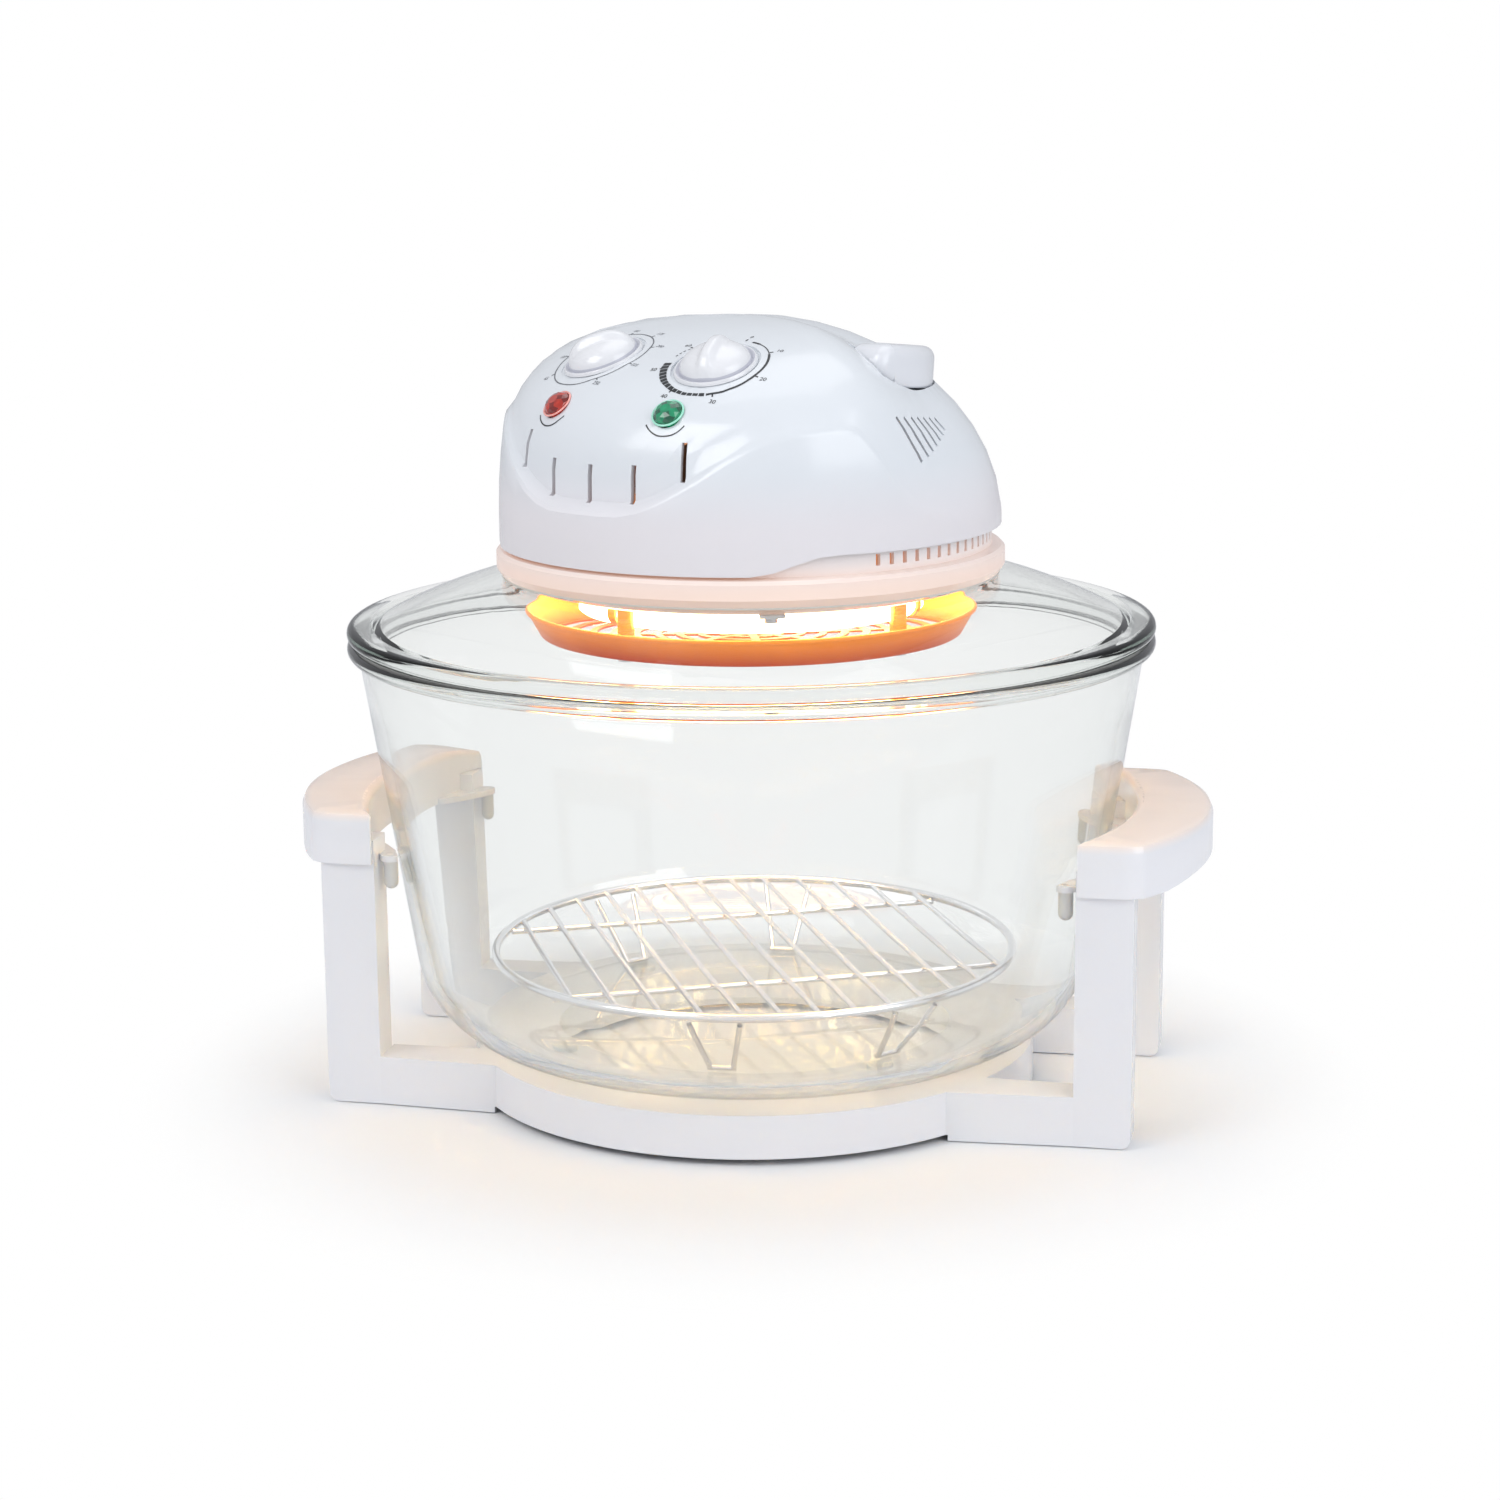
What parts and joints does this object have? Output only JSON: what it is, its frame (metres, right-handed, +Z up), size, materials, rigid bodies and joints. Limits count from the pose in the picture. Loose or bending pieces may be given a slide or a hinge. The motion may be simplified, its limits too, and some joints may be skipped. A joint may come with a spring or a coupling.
{
  "type": "halogen oven",
  "caption": "Countertop halogen oven: glass bowl with a wire rack on a two-handled stand, and a lift-off glass lid that carries a heater head with dials and a folding handle.",
  "frame": {"origin": "on the floor under the middle of the stand", "axes": "+X from the left grip to the right grip, +Z up, the stand's front faces -Y"},
  "size_m": [0.386, 0.336, 0.3264],
  "materials": {
    "base_frame": "moulded, smooth",
    "post_front_left": "moulded, smooth",
    "post_front_right": "moulded, smooth",
    "post_rear_left": "moulded, smooth",
    "post_rear_right": "moulded, smooth",
    "left_grip": "moulded, smooth",
    "right_grip": "moulded, smooth",
    "stand_screws": "plain",
    "foot_pads": "soft",
    "bowl_pads": "soft",
    "bowl_bumpers": "soft",
    "glass_bowl": "clear, polished",
    "rack_grid": "bright wire",
    "rack_feet": "bright wire",
    "glass_lid": "clear, polished",
    "lid_gasket": "heat-proof silicone",
    "collar": "moulded, smooth",
    "lid_clamps": "plain",
    "clamp_screws": "plain",
    "housing": "moulded, smooth",
    "housing_screws": "plain",
    "carry_handle": "moulded, smooth",
    "handle_pins": "plain",
    "safety_switch": "moulded",
    "switch_plunger": "moulded",
    "thermostat_knob": "moulded, smooth",
    "timer_knob": "moulded, smooth",
    "thermostat": "moulded",
    "timer": "moulded",
    "thermostat_shaft": "plain",
    "timer_shaft": "plain",
    "power_lens": "faceted, see-through",
    "heat_lens": "faceted, see-through",
    "indicator_lamps": "neon lamp",
    "fan_shaft": "plain",
    "cooling_fan": "pressed",
    "hot_air_fan": "pressed",
    "motor_core": "laminated, varnished",
    "motor_coil": "wound and taped",
    "motor_brackets": "plain",
    "motor_posts": "plain",
    "heat_shield": "plain",
    "insulation_disc": "mineral felt",
    "reflector": "polished",
    "halogen_lamp": "quartz tube, lit",
    "lamp_ends": "plain",
    "lamp_clips": "plain",
    "heater_guard": "heat-tinted, perforated",
    "guard_pillars": "plain",
    "guard_screws": "plain",
    "thermal_cutout": "moulded",
    "terminal_block": "moulded",
    "cord_inlet": "moulded"
  },
  "bodies": {
    "stand": {"base_frame": "base_frame", "post_front_left": "post_front_left", "post_front_right": "post_front_right", "post_rear_left": "post_rear_left", "post_rear_right": "post_rear_right", "left_grip": "left_grip", "right_grip": "right_grip", "stand_screws": "stand_screws", "foot_pads": "foot_pads", "bowl_pads": "bowl_pads", "bowl_bumpers": "bowl_bumpers"},
    "bowl": {"glass_bowl": "glass_bowl"},
    "rack": {"rack_grid": "rack_grid", "rack_feet": "rack_feet"},
    "lid": {"glass_lid": "glass_lid", "lid_gasket": "lid_gasket", "collar": "collar", "lid_clamps": "lid_clamps", "clamp_screws": "clamp_screws", "housing": "housing", "housing_screws": "housing_screws", "safety_switch": "safety_switch", "thermostat": "thermostat", "timer": "timer", "power_lens": "power_lens", "heat_lens": "heat_lens", "indicator_lamps": "indicator_lamps", "motor_core": "motor_core", "motor_coil": "motor_coil", "motor_brackets": "motor_brackets", "motor_posts": "motor_posts", "heat_shield": "heat_shield", "insulation_disc": "insulation_disc", "reflector": "reflector", "halogen_lamp": "halogen_lamp", "lamp_ends": "lamp_ends", "lamp_clips": "lamp_clips", "heater_guard": "heater_guard", "guard_pillars": "guard_pillars", "guard_screws": "guard_screws", "thermal_cutout": "thermal_cutout", "terminal_block": "terminal_block", "cord_inlet": "cord_inlet"},
    "handle": {"carry_handle": "carry_handle", "handle_pins": "handle_pins"},
    "plunger": {"switch_plunger": "switch_plunger"},
    "thermostat_dial": {"thermostat_knob": "thermostat_knob", "thermostat_shaft": "thermostat_shaft"},
    "timer_dial": {"timer_knob": "timer_knob", "timer_shaft": "timer_shaft"},
    "fan_rotor": {"fan_shaft": "fan_shaft", "cooling_fan": "cooling_fan", "hot_air_fan": "hot_air_fan"}
  },
  "joints": [
    {"name": "bowl_lift", "type": "slide", "parent": "stand", "child": "bowl", "axis": [0, 0, 1], "range_m": [0, 0.12]},
    {"name": "rack_lift", "type": "slide", "parent": "bowl", "child": "rack", "axis": [0, 0, 1], "range_m": [0, 0.12]},
    {"name": "lid_lift", "type": "slide", "parent": "bowl", "child": "lid", "axis": [0, 0, 1], "range_m": [0, 0.15]},
    {"name": "handle_fold", "type": "hinge", "parent": "lid", "child": "handle", "pos_m": [0, 0, 0.3082], "axis": [0.8829, -0.4695, 0], "range_deg": [0, 90]},
    {"name": "plunger_travel", "type": "slide", "parent": "lid", "child": "plunger", "axis": [0, 0, 1], "range_m": [0, 0.0031]},
    {"name": "thermostat_turn", "type": "hinge", "parent": "lid", "child": "thermostat_dial", "pos_m": [-0.05269, -0.0352, 0.3111], "axis": [-0.2516, -0.2959, 0.9215], "range_deg": [-90, 180]},
    {"name": "timer_turn", "type": "hinge", "parent": "lid", "child": "timer_dial", "pos_m": [0.00028, -0.06337, 0.3111], "axis": [-0.1046, -0.374, 0.9215], "range_deg": [-300, 0]},
    {"name": "fan_spin", "type": "hinge", "parent": "lid", "child": "fan_rotor", "pos_m": [0, 0, 0.25], "axis": [0, 0, 1], "continuous": true}
  ],
  "couplings": [
    {"joint": "plunger_travel", "follows": "handle_fold", "m_per_rad": 0.00191}
  ]
}
